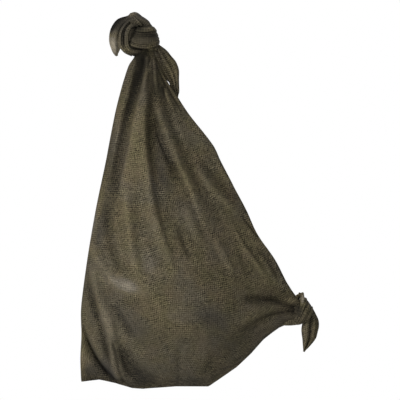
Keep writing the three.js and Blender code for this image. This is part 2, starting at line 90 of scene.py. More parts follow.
# Folds of the front. Each runs through its points in the front view, x and z. rise is out of the
# cloth, or into it where negative. left and right are its widths on either hand of someone going
# along the line, where a quarter of the rise is left. fade_in and fade_out are the shares of its
# length over which it comes and goes.
FOLD_COLUMNS = ["name", "rise", "left", "right", "fade_in", "fade_out", "points"]
FRONT_FOLDS = [
    ["left gather valley", -18, 6, 16, 0, 0.25,
     [(29, -82), (26.5, -98), (21.5, -118), (15, -138), (10, -158), (5, -178), (0, -198), (-5, -218),
      (-9, -238), (-14, -268), (-22, -304), (-30, -342), (-36, -378), (-44, -422)]],
    ["left edge ridge", 5, 6, 8, 0, 0.4,
     [(0, -102), (-6, -134), (-13, -168), (-22, -198), (-28, -228), (-36, -268), (-44, -308), (-52, -348),
      (-60, -388)]],
    ["right side of the lit panel", 12, 8, 26, 0.1, 0.35,
     [(26, -128), (24, -178), (21, -214), (20.5, -248), (22.5, -282), (26.5, -314), (30.5, -344),
      (36, -378), (44, -412), (53, -440), (62, -468), (73, -494), (85, -524), (97, -548)]],
    ["valley beside the panel", -4, 16, 10, 0, 0.35,
     [(32, -98), (34, -138), (35, -178), (35, -218), (35.5, -254), (38.5, -288), (42, -322), (46, -350),
      (53, -378), (63, -404), (74, -428), (86, -452)]],
    ["second valley", -9, 6, 16, 0.16, 0.3,
     [(40, -202), (47, -228), (54, -254), (64, -278), (74, -298), (84, -318), (92, -336), (102, -358)]],
    ["thin middle ridge", 9, 12, 6, 0.12, 0.4,
     [(43, -168), (49, -194), (55, -214), (62, -232), (71, -254), (80, -276), (88, -298), (95, -316),
      (104, -332), (112, -350), (120, -372), (129, -396), (140, -422), (153, -454), (170, -486)]],
    ["long right valley", -3.5, 10, 16, 0.1, 0.35,
     [(52, -122), (57, -168), (63, -198), (70, -218), (80, -240), (90, -262), (103, -282), (114, -302),
      (124, -322), (133, -340), (143, -360), (153, -380), (166, -402), (176, -426), (188, -454),
      (202, -478), (218, -506)]],
    ["right light ridge", 6.5, 9, 9, 0.35, 0.3,
     [(116, -304), (125, -315), (136, -330), (148, -345), (161, -359), (174, -373), (188, -386),
      (203, -400), (216, -416)]],
    ["valley over the right ridge", -4, 8, 10, 0.4, 0.2,
     [(118, -282), (134, -302), (151, -318), (167, -334), (184, -352), (201, -370), (216, -390)]],
    ["lip ridge", 3, 6, 7, 0.3, 0.2,
     [(142, -254), (158, -278), (168, -302), (180, -326), (196, -354), (212, -382), (226, -406)]],
    ["valley in the lip", -7, 6, 6, 0.3, 0.2,
     [(240, -474), (256, -484), (270, -500), (282, -522), (292, -546)]],
    ["low right ridge", 4, 6, 7, 0.3, 0.3,
     [(204, -454), (218, -474), (232, -490), (248, -508), (262, -528), (276, -548)]],
    ["valley left of it", -2.5, 7, 7, 0.3, 0.3, [(204, -470), (214, -494), (224, -518), (236, -542)]],
    ["faint ridge left of that", 5, 8, 8, 0.3, 0.3, [(158, -448), (174, -478), (190, -506), (204, -534)]],
    ["faint middle ridge", 5, 9, 9, 0.3, 0.3, [(100, -388), (112, -414), (124, -442), (138, -472)]],
    ["faint middle valley", -5, 7, 8, 0.3, 0.3, [(84, -422), (94, -446), (104, -474), (116, -502)]],
    ["faint valley in the panel", -2.5, 6, 9, 0.3, 0.3, [(30, -442), (42, -472), (56, -502), (72, -528)]],
    ["left centre ridge", 9, 12, 7, 0.2, 0.2,
     [(-16, -344), (-14, -372), (-12, -402), (-9, -434), (-5, -464), (-1, -490), (6, -514), (14, -534)]],
    ["left hollow", -9, 10, 12, 0.3, 0.2,
     [(-44, -368), (-48, -398), (-48, -428), (-44, -458), (-36, -484), (-24, -510), (-12, -528)]],
    ["diagonal ridge", 10, 10, 12, 0.1, 0.3,
     [(-88, -462), (-78, -484), (-66, -507), (-49, -529), (-26, -545), (0, -556), (24, -568)]],
    ["left corner ridge", 12, 10, 8, 0.15, 0.1,
     [(-82, -492), (-78, -522), (-72, -550), (-64, -576), (-54, -604), (-44, -632), (-40, -660),
      (-35, -684), (-27, -712), (-19, -740)]],
    ["valley left of the corner ridge", -8, 5, 9, 0.2, 0.2,
     [(-92, -528), (-86, -558), (-78, -584), (-69, -608), (-61, -634), (-54, -662), (-47, -690),
      (-38, -718)]],
    ["valley right of the corner ridge", -6, 9, 8, 0.3, 0.3,
     [(-42, -578), (-26, -608), (-10, -632), (8, -660)]],
    ["belly tuck", -20, 22, 14, 0.35, 0.1,
     [(-40, -654), (-26, -684), (-8, -711), (14, -732), (44, -752)]],
    ["corner tuck", -16, 5, 12, 0.15, 0.05,
     [(-104, -622), (-96, -646), (-86, -670), (-74, -692), (-60, -712), (-44, -732), (-32, -742)]],
    ["belly over the corner", 10, 12, 6, 0.2, 0.05,
     [(-92, -628), (-78, -662), (-62, -688), (-44, -712), (-28, -734)]],
    ["upper side valley", -10.5, 9, 13, 0.35, 0,
     [(208, -571), (232, -573.5), (256, -576), (282, -579), (304, -586), (330, -595)]],
    ["side ridge", 1.5, 8, 8, 0.4, 0, [(182, -590), (222, -588), (262, -588), (302, -592), (324, -596)]],
    ["lower side valley", -5.5, 9, 13, 0.35, 0,
     [(176, -652), (206, -640), (232, -628), (256, -616), (282, -606), (312, -600), (330, -597)]],
    ["faint valley at the bottom", -2.5, 8, 8, 0.3, 0.1,
     [(92, -658), (90, -688), (90, -718), (92, -746)]],
    ["faint valley right of it", -3, 10, 10, 0.3, 0.1, [(156, -668), (152, -698), (144, -728)]],
]
BACK_FOLDS = [
    ["back left valley", -15, 9, 12, 0, 0.4,
     [(6, -84), (-2, -150), (-14, -220), (-30, -310), (-48, -410)]],
    ["back left ridge", 8, 8, 10, 0.1, 0.4,
     [(10, -90), (6, -150), (-2, -220), (-12, -300), (-22, -390), (-30, -470)]],
    ["back centre valley", -14, 9, 12, 0, 0.35,
     [(20, -84), (22, -150), (24, -230), (32, -320), (46, -410), (66, -490)]],
    ["back centre ridge", 11, 12, 8, 0.1, 0.35,
     [(30, -100), (36, -170), (44, -250), (58, -330), (78, -410), (104, -480)]],
    ["back right valley", -12, 10, 13, 0, 0.4,
     [(34, -84), (54, -150), (80, -230), (112, -310), (148, -390), (190, -450)]],
    ["back right ridge", 9, 9, 9, 0.15, 0.35,
     [(44, -110), (72, -180), (106, -250), (144, -320), (184, -390), (222, -450)]],
    ["back valley by the lip", -6, 7, 8, 0.2, 0.3,
     [(70, -160), (110, -230), (150, -290), (190, -350), (226, -410)]],
    ["back upper side ridge", 6, 9, 9, 0.4, 0.1, [(150, -470), (210, -512), (262, -540), (310, -562)]],
    ["back upper side valley", -13, 10, 10, 0.4, 0, [(130, -500), (190, -536), (250, -562), (326, -588)]],
    ["back side ridge", 6, 9, 9, 0.4, 0, [(120, -560), (190, -576), (260, -586), (326, -594)]],
    ["back lower side valley", -12, 11, 12, 0.5, 0, [(120, -660), (190, -636), (256, -612), (326, -602)]],
    ["back slack fold", -8, 9, 14, 0.3, 0.3, [(-30, -460), (0, -520), (44, -570), (100, -600)]],
    ["back belly ridge", 8, 14, 12, 0.3, 0.3,
     [(-60, -500), (-20, -560), (30, -610), (90, -640), (150, -646)]],
    ["back corner ridge", 9, 10, 8, 0.2, 0.1, [(-84, -560), (-66, -620), (-44, -676), (-14, -736)]],
    ["back corner tuck", -14, 8, 14, 0.2, 0.05, [(-96, -600), (-80, -650), (-58, -694), (-28, -736)]],
]
# Creases: narrow soft troughs and ridges on the folds
FRONT_CREASES = [
    ["dark valley in the neck", -7, 4, 5, 0, 0.3, [(48, -94), (54, -122), (60, -150), (64, -174)]],
    ["neck ridge", 5, 4, 5, 0.1, 0.4, [(28, -88), (25, -118), (22, -146), (21, -172)]],
    ["neck chain", 4, 3, 3, 0.1, 0.4, [(40, -92), (43, -130), (46, -168)]],
    ["dark line beside the thin ridge", -3, 3, 3, 0.4, 0.4,
     [(39, -212), (46, -238), (52, -262), (62, -284), (72, -304), (80, -320)]],
    ["neck thread", 4, 3, 3, 0.2, 0.4, [(50, -126), (62, -158), (72, -182), (82, -202)]],
    ["crease by the right edge", -5, 3.5, 3.5, 0.2, 0.4,
     [(58, -132), (74, -166), (86, -186), (98, -204)]],
    ["crease under the lip", -7, 2.5, 3, 0.5, 0.05, [(212, -402), (222, -418), (235, -435), (249, -454)]],
    ["corner tuck line", -11, 3, 4, 0.1, 0.05,
     [(-102, -626), (-95, -648), (-85, -670), (-75, -690), (-62, -710), (-48, -728), (-34, -742)]],
    ["bright line of the diagonal ridge", 3, 3.5, 5, 0.1, 0.4,
     [(-80, -478), (-65, -503), (-44, -529), (-24, -543), (-6, -551), (10, -556)]],
    ["bright line of the corner ridge", 6, 4, 4.5, 0.1, 0.1,
     [(-84, -498), (-80, -524), (-74, -552), (-67, -580), (-60, -604), (-52, -630), (-46, -660),
      (-41, -690), (-34, -716), (-26, -738)]],
    ["sharp side of the belly tuck", -7, 5, 3, 0.15, 0.05,
     [(-42, -652), (-38, -674), (-33, -698), (-27, -722), (-20, -744)]],
    ["right light line", 3.5, 3, 3, 0.25, 0.25,
     [(194, -424), (206, -448), (220, -470), (234, -490), (248, -510), (264, -536)]],
    ["upper side crease", -6, 3.5, 3.5, 0.4, 0, [(246, -575), (282, -580), (322, -593)]],
    ["lower side crease", -4, 4, 4, 0.4, 0, [(224, -624), (250, -613), (282, -603), (322, -602)]],
]
FOLD_STEPS = 72  # straight steps that a fold is followed in
FOLD_REACH = 2  # widths from its line at which a fold ends
RIDGE_FULL_DEPTH = 6  # half depth from which ridges, creases and lumps have their whole height
VALLEY_LIMIT = 0.62  # share of the half depth that valleys together never pass
LEAST_LIMIT = 1e-6  # stands in for no depth, so that nothing is divided by 0

# Slight unevenness of the cloth: size of the lumps, and their height
LUMPS = [(46, 1.5), (19, 0.6)]
FRONT_LUMPS_SEED = 3.0
BACK_LUMPS_SEED = 8.0

# Crests of the bag: rounds of averaging that give a place its surroundings, and the height over
# them that counts as a crest
FRONT_CREST_ROUNDS = 120
BACK_CREST_ROUNDS = 60
CREST_HEIGHT = 4

# Light and dark places of the front: soft oval patches, placed and sized against the
# photograph. They stand for wear and stains, and for part of the photograph's own shading. Each has
# x, z, half its length, half its width, its slope in degrees, up to the right, and its amount, above
# 0 where the cloth is paler.
PATCH_FADE = 0.7  # leaves half the amount at half the length or half the width
BACK_WEAR_AND_SHADING = 0.5  # share of the patches that the back has
TOP_KNOT_DARKENING = -0.45  # amount for the whole of a knot, which is darker throughout
SIDE_KNOT_DARKENING = -0.28
# The patches are partly painted shade, shadows and highlights along the folds, under the knot and at the
# rims, and partly worn places and stains.
FRONT_PATCHES = {
    # Among these are painted shade in the gathers and under the knot.
    "neck and gathers": [
        (30, -140, 36, 5, 88, 0.18), (40, -86, 16, 10, 0, 0.25), (36, -132, 60, 20, 86, -0.34),
        (4, -134, 54, 10, 75, -0.5), (14, -100, 20, 16, 0, -0.3), (-14, -208, 36, 9, 72, -0.34),
        (-12, -122, 24, 6, 72, -0.2), (60, -182, 24, 9, -80, -0.14), (17, -178, 34, 6, 88, -0.18),
        (59, -168, 18, 8, -60, -0.25),
    ],
    # The two palest of these are a painted highlight on the ridge.
    "diagonal ridge": [
        (-69, -538, 26, 11, -62, 0.42), (-66, -494, 18, 8, -60, 0.3), (-10, -548, 9, 4, -24, 1.15),
        (-58, -512, 34, 4, -54, 0.26), (-18, -544, 34, 13, -24, 0.9), (-57, -526, 22, 7, -45, -0.42),
        (-22, -527, 14, 6, -10, -0.25),
    ],
    "left corner, its ridge and its tucks": [
        (-24, -624, 34, 9, -60, 0.14), (-56, -610, 40, 9, -68, 0.3), (-62, -628, 20, 7, -68, 0.14),
        (-104, -688, 60, 5, 90, 0.55), (-33, -634, 50, 11, -64, 0.24), (-74, -702, 24, 7, -62, 0.24),
        (-33, -702, 26, 6, -70, 0.3), (-16, -712, 40, 12, -60, 0.18), (4, -614, 44, 20, -50, -0.16),
        (-47, -718, 28, 6, -70, -0.36), (-84, -742, 22, 6, 4, -0.3), (-80, -610, 58, 11, 88, -0.34),
        (-24, -612, 44, 16, -56, -0.22), (8, -630, 60, 30, -40, -0.14), (-89, -719, 20, 12, 10, -0.5),
        (-60, -712, 30, 12, -52, -0.26), (2, -736, 34, 18, -40, -0.2),
    ],
    "left side": [
        (-16, -352, 56, 14, 0, 0.1), (-8, -460, 60, 24, 80, 0.06), (-18, -400, 80, 5, 86, 0.12),
        (-78, -424, 50, 6, 78, 0.95), (-100, -570, 60, 5, 84, 0.3), (-58, -384, 100, 12, 76, -0.32),
        (-63, -444, 56, 13, 80, -0.25), (-42, -280, 44, 6, 83, -0.28),
    ],
    "panel": [
        (8, -290, 110, 22, 86, 0.12), (4, -226, 22, 14, 78, 0.1), (42, -358, 48, 8, -76, 0.48),
        (-14, -380, 90, 12, 84, 0.12), (24, -478, 50, 14, -72, 0.14), (62, -454, 42, 12, -68, 0.24),
        (44, -510, 22, 16, -50, 0.12), (36, -232, 50, 8, -86, 0.1), (36, -492, 30, 9, -62, 0.12),
        (-35, -402, 56, 11, -86, -0.21), (18, -256, 30, 8, 88, -0.2), (62, -252, 30, 11, -85, -0.12),
    ],
    "side knot, side ridge and flank": [
        (246, -676, 46, 7, 43, 0.3), (306, -560, 28, 13, -55, 0.34), (248, -590, 50, 8, 0, -0.16),
        (232, -648, 44, 10, 25, -0.13), (290, -514, 26, 5, -60, -0.2), (288, -512, 40, 6, -58, -0.2),
        (248, -558, 40, 12, -20, -0.12), (240, -582, 70, 26, 0, -0.16), (300, -592, 30, 20, 0, -0.06),
        (323, -595, 13, 9, 70, -0.42), (305, -616, 20, 9, 8, -0.36), (216, -660, 80, 28, 34, -0.22),
    ],
    "belly and bottom": [
        (182, -728, 50, 8, 36, 0.6), (28, -668, 20, 12, 20, 0.12), (78, -566, 52, 30, 0, 0.07),
        (28, -712, 44, 24, 0, -0.1), (158, -616, 34, 12, -20, -0.2), (136, -652, 46, 14, 10, -0.1),
        (66, -690, 130, 50, 0, -0.12), (96, -646, 84, 32, 0, -0.14), (152, -608, 34, 22, -20, -0.24),
        (142, -666, 30, 18, 20, -0.14), (190, -556, 30, 36, 0, 0.07), (104, -718, 110, 20, 0, -0.14),
    ],
    "shoulder, lip and right edge": [
        (78, -232, 24, 12, -62, 0.12), (98, -290, 26, 8, -58, 0.22), (122, -240, 50, 22, -50, 0.31),
        (122, -252, 16, 8, -50, 0.2), (262, -506, 44, 7, -60, 0.26), (158, -316, 50, 8, -54, 0.16),
        (226, -472, 40, 10, -60, -0.12), (201, -366, 50, 7, -62, -0.24), (166, -282, 26, 7, -56, -0.3),
        (168, -322, 30, 8, -56, -0.12), (208, -378, 36, 8, -57, -0.2), (244, -468, 34, 8, -52, -0.12),
        (200, -540, 60, 30, -56, -0.08),
    ],
    "middle, between the panel and the lip": [
        (92, -262, 54, 7, -62, 0.14), (62, -452, 40, 8, -80, 0.14), (132, -366, 50, 8, -76, 0.1),
        (18, -508, 40, 24, -50, 0.3), (130, -434, 42, 7, -68, 0.14), (48, -268, 84, 13, -82, -0.22),
        (55, -322, 34, 10, -68, -0.3), (118, -486, 30, 11, -60, -0.18), (66, -252, 40, 8, -66, -0.12),
        (101, -254, 38, 7, -55, -0.04), (122, -294, 32, 9, -52, -0.14), (172, -376, 28, 10, -48, -0.14),
        (76, -358, 34, 9, -50, -0.2),
    ],
}

# Knots. A strand is a soft pleat of the gathered cloth, with x, y, z, width and thickness for each
# place along it. It faces away from the middle of its knot, or the front where FACES_FRONT names it.
TOP_MIDDLE = (16, 0, -54)
TOP_STRANDS = {
    "packed cloth inside":
        [(6, 0, -16, 26, 20), (10, -1, -34, 54, 34), (14, 0, -56, 63, 40), (16, 0, -72, 50, 26),
         (20, 0, -84, 30, 12)],
    "outer pleat over the top":
        [(-13, -5, -18, 16, 10), (-6, -8, -11.5, 20, 11), (1.5, -9, -9, 22, 12), (11, -9, -15.5, 24, 12),
         (23, -8, -23, 24, 12), (29.5, -6, -31.5, 24, 12), (32, 2, -44, 20, 12)],
    "second pleat over the top":
        [(-12, -12, -17, 8, 8), (-4, -17, -16, 9, 8), (6, -18, -20, 10, 8), (15, -15, -26, 10, 8),
         (23, -8, -35, 10, 8)],
    "third pleat over the top":
        [(-9, -17, -24, 8, 8), (0, -20, -22, 8, 8), (8, -17, -27, 8, 8), (13, -10, -34, 8, 8)],
    "top pleat of the band":
        [(4, -12, -38, 9, 8), (10, -22, -39.5, 13, 8), (22, -26, -39, 15, 8), (34, -21, -37, 14, 9),
         (39, -8, -37, 13, 9), (37, 8, -42, 12, 10), (26, 20, -44, 12, 10)],
    "hidden pleat of the band":
        [(0, -14, -47, 12, 7), (10, -24.5, -49, 15, 6), (26, -25.5, -49, 15, 6), (40, -15, -48, 14, 8),
         (44.5, 3, -49, 12, 8)],
    "broad pleat of the band":
        [(-6, -10, -60, 14, 9), (1, -22, -61, 17, 9), (12, -27, -62, 20, 9), (28, -26.5, -61.5, 20, 9),
         (39, -18, -59.5, 18, 10), (43.5, -4, -58, 17, 11), (42, 10, -60, 18, 11), (30, 20, -62, 18, 11)],
    "lower pleat of the band":
        [(-8, -18, -63, 6, 7), (-2, -26, -68.5, 7, 7), (12, -29, -72.5, 7, 7), (28, -27, -72.5, 8, 7),
         (41, -20, -68, 9, 8), (47.5, -6, -64, 9, 8), (47, 8, -65, 9, 8)],
    "pleat round the end of the band":
        [(7, -20, -31, 7, 7), (-1, -25, -31, 7, 8), (-8, -27, -36, 7, 8), (-12.5, -28, -46, 7, 8),
         (-13.5, -28, -58, 7, 8), (-13, -28, -68, 7, 8), (-8, -28, -77, 8, 8), (2, -25, -81.5, 7, 7),
         (10, -19, -81, 7, 7), (18, -8, -78, 7, 7)],
    "pleat outside that":
        [(-2, -16, -20, 9, 9), (-9, -18, -23, 10, 9), (-17, -19, -31, 10, 9), (-23, -19, -42, 9, 9),
         (-25, -18, -55, 9, 9), (-24.5, -18, -68, 10, 9), (-17.5, -19, -78.5, 11, 9),
         (-7, -19, -84, 8, 8), (3, -16, -85, 7, 7), (12, -8, -84, 6, 6)],
    "pleat down the back":
        [(0, 20, -26, 12, 12), (-12, 22, -40, 15, 12), (-16, 22, -60, 16, 13), (-8, 22, -78, 15, 12),
         (10, 20, -86, 14, 11), (30, 14, -80, 12, 10)],
    "pleat down the left side":
        [(-12, 4, -18, 14, 12), (-22, 2, -36, 16, 12), (-25, 1, -56, 16, 12), (-18, 2, -76, 15, 12),
         (-2, 2, -86, 14, 11)],
    "back pleat over the top":
        [(-8, 8, -14, 14, 12), (4, 10, -15, 16, 13), (18, 12, -25, 16, 13), (29, 14, -40, 15, 13),
         (35, 14, -56, 13, 12)],
    "upper back of the band":
        [(34, 8, -42, 15, 11), (30, 20, -44, 17, 11), (14, 25, -46, 18, 11), (-2, 21, -46, 17, 11),
         (-14, 8, -44, 14, 10)],
    "lower back of the band":
        [(44, 2, -60, 16, 11), (38, 18, -62, 19, 12), (18, 26, -64, 20, 12), (-4, 22, -64, 19, 12),
         (-18, 8, -62, 16, 11)],
    "back wrap under the band":
        [(44, 0, -72, 13, 11), (34, 16, -77, 15, 11), (16, 22, -81, 16, 11), (-4, 17, -80, 15, 11),
         (-16, 4, -76, 13, 10)],
    "thin pleat across the top":
        [(-7, -16, -7, 5, 5), (1, -21, -15, 5, 5), (9, -23, -24, 5, 5), (15, -20, -31, 5, 5)],
}
FACES_FRONT = ["packed cloth inside", "lower edge gathered in"]
SIDE_MIDDLE = (328, 0, -600)
SIDE_STRANDS = {
    "packed cloth inside":
        [(318, 4, -594, 24, 14), (324, 2, -596, 38, 22), (331, 0, -598, 46, 26), (342, -1, -603, 34, 26),
         (350, 0, -606, 20, 18)],
    "stub of the other end":
        [(316, 1, -586, 16, 12), (324, 0, -575, 17, 11), (331, -2, -568, 12, 8), (333.5, -2, -564, 9, 5)],
    "faded fold beside it":
        [(335, -10, -564.5, 8, 7), (336, -16, -573, 8, 8), (336, -21, -585, 8, 8),
         (332, -22, -597, 7, 8)],
    "lower edge gathered in":
        [(296, -4, -624, 8, 8), (304, -7, -624.5, 9, 9), (314, -11, -623, 11, 10),
         (325, -14, -620.5, 12, 10), (336, -12, -617, 12, 10)],
}
# Pleats right round a knot: the middle in the front view, half the span across, how far the front
# and the back stand out, the angle of the span, how far the front sags across it, and the section
ROUND_COLUMNS = ["x", "z", "half", "front", "back", "angle", "sag", "width", "thick"]
SIDE_ROUNDS = [
    [331, -600, 25, 25, 20, 67, 2, 11, 10],
    [339, -606, 19, 25, 20, 62, 3, 12, 10],
    [346, -608, 14, 21, 18, 58, 3, 10, 9],
]
# Free ends: flat pleated cloth between two edges. A row has x, y and z of the left edge, then of the
# right edge, and how far the middle bulges forward. A pleat has its place across, from -1 to 1, its
# height, and its half width, where a quarter of the height is left.
TAILS = {
    "top_knot_left_tail": {
        "wear_and_shading": -0.45,
        "rows": [
            (-6, -6, -6.5, 0, -12, -22, 2), (-15, -8, -10.5, -7, -14, -26, 3),
            (-26, -8, -13.5, -13, -15, -31, 5), (-35, -8, -18.5, -18, -16, -37, 6),
            (-42.5, -8, -28, -22, -16, -44, 7), (-47.5, -8, -39, -25, -15, -52, 7),
            (-49.6, -8, -52, -26.5, -14, -60, 6), (-49.2, -8, -64, -26.8, -13, -67, 5),
            (-46, -9, -74.5, -26.4, -12, -74, 4), (-42.5, -10, -83, -29, -12, -81, 3),
            (-38.5, -11, -88.5, -31.5, -12, -86, 1), (-35, -11, -91, -33, -12, -90, 0)],
        "pleats": [(-0.75, -1.5, 0.3), (-0.2, 1.2, 0.5), (0.55, -1.5, 0.3)],
    },
    # This tail is made paler than the knot: painted light where the neck shades it.
    "top_knot_right_tail": {
        "wear_and_shading": 0.04,
        "rows": [
            (38, 8, -68, 50.5, 6, -67, 0), (38, 12, -86, 65, 8, -78, 2), (44, 14, -102, 75, 11, -90, 3),
            (52, 16, -119, 84, 14, -101, 3), (62.3, 17, -134.5, 89.8, 17, -117, 3),
            (70.6, 18, -144, 90, 18, -134, 3), (73, 18, -158, 90.4, 18, -150, 2),
            (79, 19, -170, 90.4, 18, -162, 1), (85, 19, -172.5, 87, 19, -172, 0)],
        "pleats": [(-0.72, 3, 0.28), (-0.35, -2, 0.2), (-0.02, 2.5, 0.25), (0.3, -1.5, 0.16),
                   (0.62, 2.5, 0.25)],
    },
    "side_knot_tail": {
        "wear_and_shading": -0.08,
        "rows": [
            (332, -4, -584, 339, -2, -571, 1), (340, -6, -594, 348.5, -5, -580.5, 3),
            (342, -8, -606, 357.5, -8, -594.5, 5), (339, -8, -616, 363.6, -9, -606, 6),
            (336, -8, -626, 368.8, -9, -618, 7), (334.4, -8, -636, 369.6, -10, -630, 7),
            (335, -8, -646, 367, -10, -642, 6), (336.4, -8, -656, 363.6, -10, -654, 5),
            (337.2, -8, -667, 354, -9, -667, 3), (338, -8, -676, 345, -8, -676.5, 1),
            (338.2, -8, -681, 340, -8, -680.6, 0)],
        "pleats": [(-0.5, 3, 0.35), (0.08, -4, 0.22), (0.48, 3, 0.22)],
    },
}
# Light and dark places of the knots and tails, as those of the front: worn places and stains, and painted
# shade, shadows and highlights
KNOT_PATCHES = {
    "left tail": [
        (-30, -22, 26, 11, 36, -0.45), (-42, -36, 18, 8, 66, -0.35), (-44, -70, 18, 9, -78, 2.4),
        (-36, -56, 20, 6, 84, 0.3), (-12, -28, 12, 4, 50, 0.1),
    ],
    # These pale patches are painted light on a tail that the neck shades.
    "right tail": [
        (50, -100, 20, 8, -50, 0.3), (80, -150, 22, 8, -80, 0.34),
    ],
    # The palest of these is a painted highlight on the top of the side knot.
    "side knot": [
        (336, -576, 12, 3.5, 80, 1.6), (325, -570, 6, 5, 60, 0.2), (330, -580, 8, 4, 75, -0.5),
        (328, -595, 13, 8, 76, -0.55), (344, -584, 16, 6, -50, 0.4), (335, -608, 20, 4, 64, 0.12),
    ],
    # Among the top knot's patches are painted shade in its hollows and under it, and a painted highlight
    # on its top.
    "top knot": [
        (-2, -5, 7, 4, 20, 1.1), (2, -42, 12, 6, 80, -0.3), (10, -36, 11, 4, -10, -0.35),
        (-11, -48, 18, 4, 84, 0.15), (-20, -54, 20, 4, 84, -0.05), (-12, -22, 10, 4, 40, -0.2),
        (36, -39, 11, 5, 4, 0.35), (18, -35, 11, 5, 0, -0.25), (42, -66, 14, 6, 40, 0.4),
        (4, -24, 16, 7, -20, 0.3), (28, -49, 22, 4, -2, -0.45), (22, -59, 24, 7, -2, -0.2),
        (10, -70, 22, 3, -8, 0.12), (8, -77.5, 20, 2.5, -3, -0.15), (-17, -76, 8, 4, -40, 0.5),
        (-4, -83, 14, 3, -6, 0.25), (8, -90, 16, 5, 0, -0.3), (42, -84, 14, 8, 20, 0.3),
    ],
}
STRAND_STEPS = 48
ROUND_STEPS = 96  # steps of a pleat that goes right round a knot
ROUND_ROWS = 12  # rows that it is drawn through
OVERLAP = 3  # rows of a closed path that are repeated at each end
DIRECTION_STEP = 0.02  # part of a row to either side that gives the direction of a path
STRAND_SIDES = 48
SQUARENESS = 0.8  # below 1 makes the section of a strand squarer than an ellipse
STRAND_RIDGES = [(2, 0.6), (3, 0.5), (5, 0.35)]  # small ridges: how many go round, and their height
MOST_TWIST = 0.6  # radians of its wave that a ridge shifts by at most in TWIST_LENGTH
TWIST_LENGTH = 12
CREST_OUTWARDS = 1.2  # crest of a strand where it faces outwards
CREST_LOSS = 0.4  # taken off everywhere
CREST_OF_RIDGES = 0.5  # added for each millimetre of a ridge
STRAND_SHIFT = 50  # between the threads of one strand and those of the next
FIRST_ROUND_SEED = 50  # seed of the first pleat that goes right round
TAIL_STEPS = 70
TAIL_COLUMNS = 36
PLEAT_REACH = 1.5  # half widths from its middle at which a pleat ends
PLEAT_FULL_WIDTH = 16  # width of a tail from which its pleats have their whole height
PLEAT_CREST_HEIGHT = 2  # height of a pleat over the rest where it counts as a crest

# The burlap. Its colours are from 0 to 255 in the picture.
OLIVE = (88, 82, 60)
BROWN = (89, 80, 62)
ASH = (85, 80, 70)
THREAD_PITCH = 2.1  # between one thread and the next
THREAD_RELIEF = 0.7  # height of the weave
THREAD_DIP = 0.45  # share of its height that a thread loses between those it crosses
THREAD_STRIDE = 7.3  # how far apart in the noise one thread and the next take their tone
TONE_STRETCH = 0.3  # how fast the tone changes along a thread
CREST_WEAR_AND_SHADE = 0.3  # how much paler a crest is and darker a hollow: worn crests, and painted shade in the hollows
DARKEST = 0.08  # least share of the colour left where the cloth is darkest, from worn places and painted shade
GRAIN_RELIEF = 0.6  # height of the grain as a share of the weave's
BUMP_STRENGTH = 0.8
ROUGHNESS = 0.92
SPECULAR = 0.2
# Noise in it: scale, detail and roughness
NOISES = {
    "wobble": (60, 3, 0.5),
    "thread": (1, 1, 0.5),
    "grain": (700, 2, 0.7),
    "mottle": (26, 4, 0.6),
    "stain": (7, 3, 0.55),
    "patchy": (40, 2, 0.5),
    "ashy": (12, 3, 0.6),
}
# For each of its values a low and a high, and what they turn into
RANGES = {
    "wobble": (0, 1, -0.45, 0.45),
    "warp": (0.25, 0.75, -0.5, 0.5),
    "weft": (0.25, 0.75, -0.8, 0.8),
    "crossing": (0, 1, -0.35, 0.35),
    "grain": (0.3, 0.7, -0.15, 0.15),
    "other row": (0, 1, -0.3, 0.3),
    "other column": (0, 1, -0.2, 0.2),
    "thread_contrast": (-0.55, -0.15, 0.2, 0.9),
    "most_thread_contrast": (0, 0.2, 0, 0.2),
    "patchy": (0.35, 0.65, 0.6, 1.2),
    "mottle": (0.3, 0.7, -0.08, 0.08),
    "stain": (0.3, 0.7, -0.12, 0.12),
    "weave": (0, 1, -0.35, 0.12),
    "brown": (0.35, 0.65, 0, 1),
    "ashy": (0.42, 0.62, 0, 0.6),
    "ashy where darkened": (-0.5, -0.15, 0.4, 0),
    "ashy where lightened": (0.35, 0.9, 0, 0.9),
    "relief": (-0.3, 0.1, 0.45, 1),
}

# Camera and light, in metres
PIXEL = 0.002  # size of a pixel of the photograph at the bag
PICTURE = 400  # pixels on each side
ORIGIN_PIXEL = (134, 11)  # pixel of the frame's origin, at the top knot
CAMERA_DISTANCE = 6.0
SENSOR_WIDTH = 36  # millimetres, as the lens is
FARTHEST_SEEN = 100
LAMPS_FACE = (0.1, 0, -0.4)
# Lamps: name, place, size, watts and colour
LAMPS = [
    ("key", (-2.5, -2.6, 1.3), 1.6, 115, (1.0, 0.98, 0.95)),
    ("fill", (-0.3, -4.0, 0.2), 3.0, 44, (0.95, 0.97, 1.0)),
    ("behind", (2.0, 2.8, 1.4), 2.0, 60, (1.0, 1.0, 1.0)),
]
WHITE = (1, 1, 1, 1)
WORLD_LIGHT = 0.19
FLOOR_HALF = 3.0
FLOOR_Z = -1.3
FLOOR_COLOUR = (0.85, 0.85, 0.84, 1)


def between(values, positions):
    """Rows between those of a table, on a smooth curve through them all."""
    values = np.asarray(values, float)
    ends = [2 * values[0] - values[1]], [2 * values[-1] - values[-2]]
    padded = np.concatenate([ends[0], values, ends[1]])
    i = np.clip(np.floor(positions).astype(int), 0, len(values) - 2)
    t = (positions - i)[:, None]
    p0, p1, p2, p3 = (padded[i + k] for k in range(4))
    a = -p0 + 3 * p1 - 3 * p2 + p3
    b = 2 * p0 - 5 * p1 + 4 * p2 - p3
    c = p2 - p0
    return p1 + 0.5 * t * (c + t * (b + t * a))


def ease(t):
    c = np.clip(t, 0, 1)
    return c * c * (3 - 2 * c)


def hump(t):
    """1 where t is 0, falling smoothly to 0 at 1 on either side."""
    return 0.5 + 0.5 * np.cos(np.pi * np.clip(t, -1, 1))


def unit(vectors):
    return vectors / np.linalg.norm(vectors, axis=-1, keepdims=True)


def drop(u):
    """Drop of a section below the line between its ends, from 0 to 1."""
    shares = np.array(DROP_CURVE)
    return np.interp(u, shares[:, 0], shares[:, 1])


